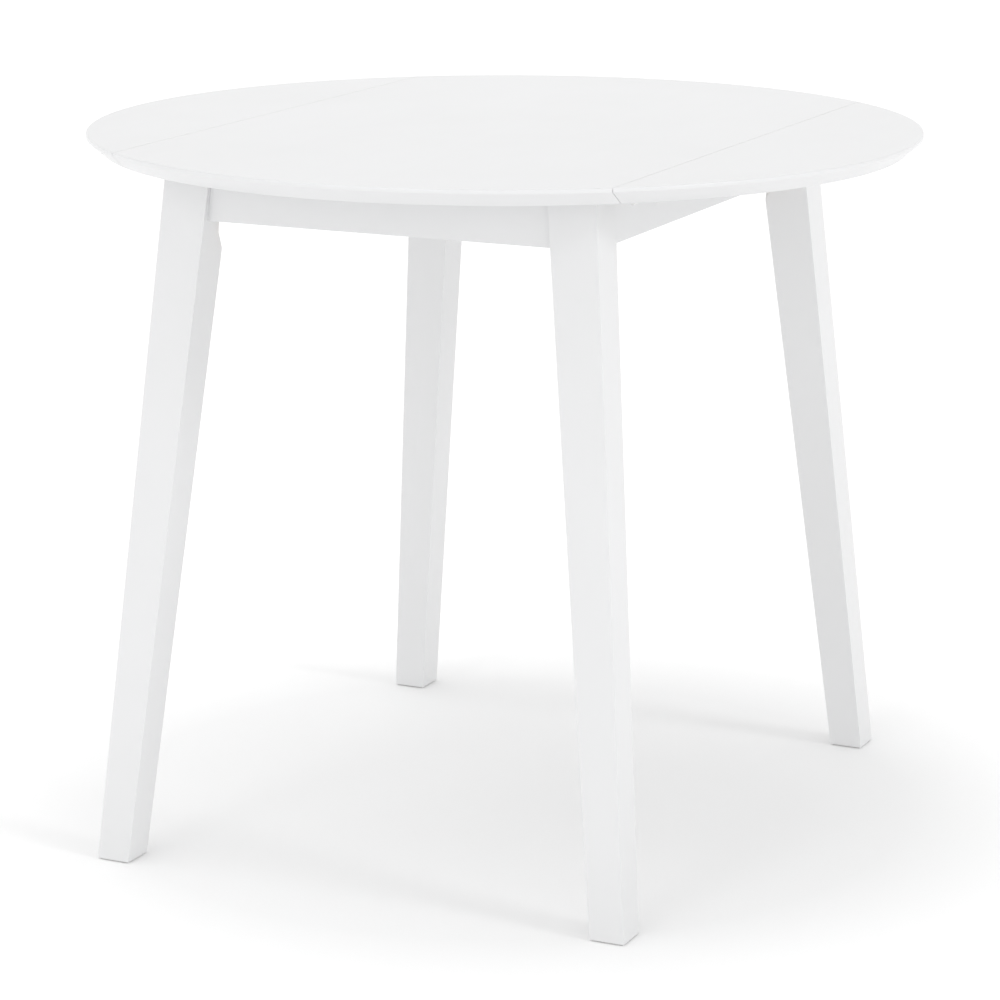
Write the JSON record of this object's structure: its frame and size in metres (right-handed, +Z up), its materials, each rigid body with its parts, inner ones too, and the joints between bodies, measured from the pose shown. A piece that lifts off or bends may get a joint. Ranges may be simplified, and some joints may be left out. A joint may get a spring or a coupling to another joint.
{
  "type": "round drop-leaf table",
  "caption": "Round drop-leaf dining table on splayed tapered legs, with hinged side leaves that fold down and folding stays that hold them up.",
  "frame": {"origin": "centre of the footprint, on the floor", "axes": "+Z up; +X towards the right leaf, across the seams; +Y to the back, along the seams"},
  "size_m": [0.8998, 0.8998, 0.762],
  "materials": {
    "lacquer": "satin white lacquer",
    "block_wood": "planed, uncoated",
    "zinc": "zinc plated",
    "hinge_steel": "white coated steel",
    "stay_steel": "white coated steel",
    "glide": "moulded nylon",
    "pad_rubber": "matt"
  },
  "bodies": {
    "frame": {"centre_top": "lacquer", "apron_front": "lacquer", "apron_back": "lacquer", "apron_left": "lacquer", "apron_right": "lacquer", "leg_front_left": "lacquer", "leg_front_right": "lacquer", "leg_back_left": "lacquer", "leg_back_right": "lacquer", "foot_glide_front_left": "glide", "foot_glide_front_right": "glide", "foot_glide_back_left": "glide", "foot_glide_back_right": "glide", "corner_block_front_left": "block_wood", "corner_block_front_right": "block_wood", "corner_block_back_left": "block_wood", "corner_block_back_right": "block_wood", "corner_block_screws": "zinc", "leg_bolts": "zinc", "leg_bolt_washers": "zinc", "leg_bolt_nuts": "zinc", "top_brackets": "zinc", "top_bracket_screws": "zinc", "hinge_top_screws": "zinc", "stay_bracket_screws": "zinc", "hinge_top_plate_front_left": "hinge_steel", "hinge_top_plate_front_right": "hinge_steel", "hinge_top_plate_back_left": "hinge_steel", "hinge_top_plate_back_right": "hinge_steel", "hinge_pin_front_left": "hinge_steel", "hinge_pin_front_right": "hinge_steel", "hinge_pin_back_left": "hinge_steel", "hinge_pin_back_right": "hinge_steel", "stay_bracket_left": "stay_steel", "stay_bracket_right": "stay_steel", "stay_pin_left": "stay_steel", "stay_pin_right": "stay_steel"},
    "leaf_left": {"leaf_left": "lacquer", "hinge_leaf_screws_left": "zinc", "hinge_leaf_plate_front_left": "hinge_steel", "hinge_leaf_plate_back_left": "hinge_steel"},
    "leaf_right": {"leaf_right": "lacquer", "hinge_leaf_screws_right": "zinc", "hinge_leaf_plate_front_right": "hinge_steel", "hinge_leaf_plate_back_right": "hinge_steel"},
    "stay_left": {"stay_arm_left": "stay_steel", "stay_pad_left": "pad_rubber"},
    "stay_right": {"stay_arm_right": "stay_steel", "stay_pad_right": "pad_rubber"}
  },
  "joints": [
    {"name": "leaf_right_fold", "type": "hinge", "parent": "frame", "child": "leaf_right", "pos_m": [0.279, 0, 0.741], "axis": [0, 1, 0], "range_deg": [0, 90]},
    {"name": "leaf_left_fold", "type": "hinge", "parent": "frame", "child": "leaf_left", "pos_m": [-0.279, 0, 0.741], "axis": [0, -1, 0], "range_deg": [0, 90]},
    {"name": "stay_right_fold", "type": "hinge", "parent": "frame", "child": "stay_right", "pos_m": [0.252, 0, 0.709], "axis": [0, 1, 0], "range_deg": [0, 109]},
    {"name": "stay_left_fold", "type": "hinge", "parent": "frame", "child": "stay_left", "pos_m": [-0.252, 0, 0.709], "axis": [0, -1, 0], "range_deg": [0, 109]}
  ],
  "couplings": [
    {"joint": "stay_right_fold", "follows": "leaf_right_fold", "ratio": 1.2111},
    {"joint": "stay_left_fold", "follows": "leaf_left_fold", "ratio": 1.2111}
  ]
}
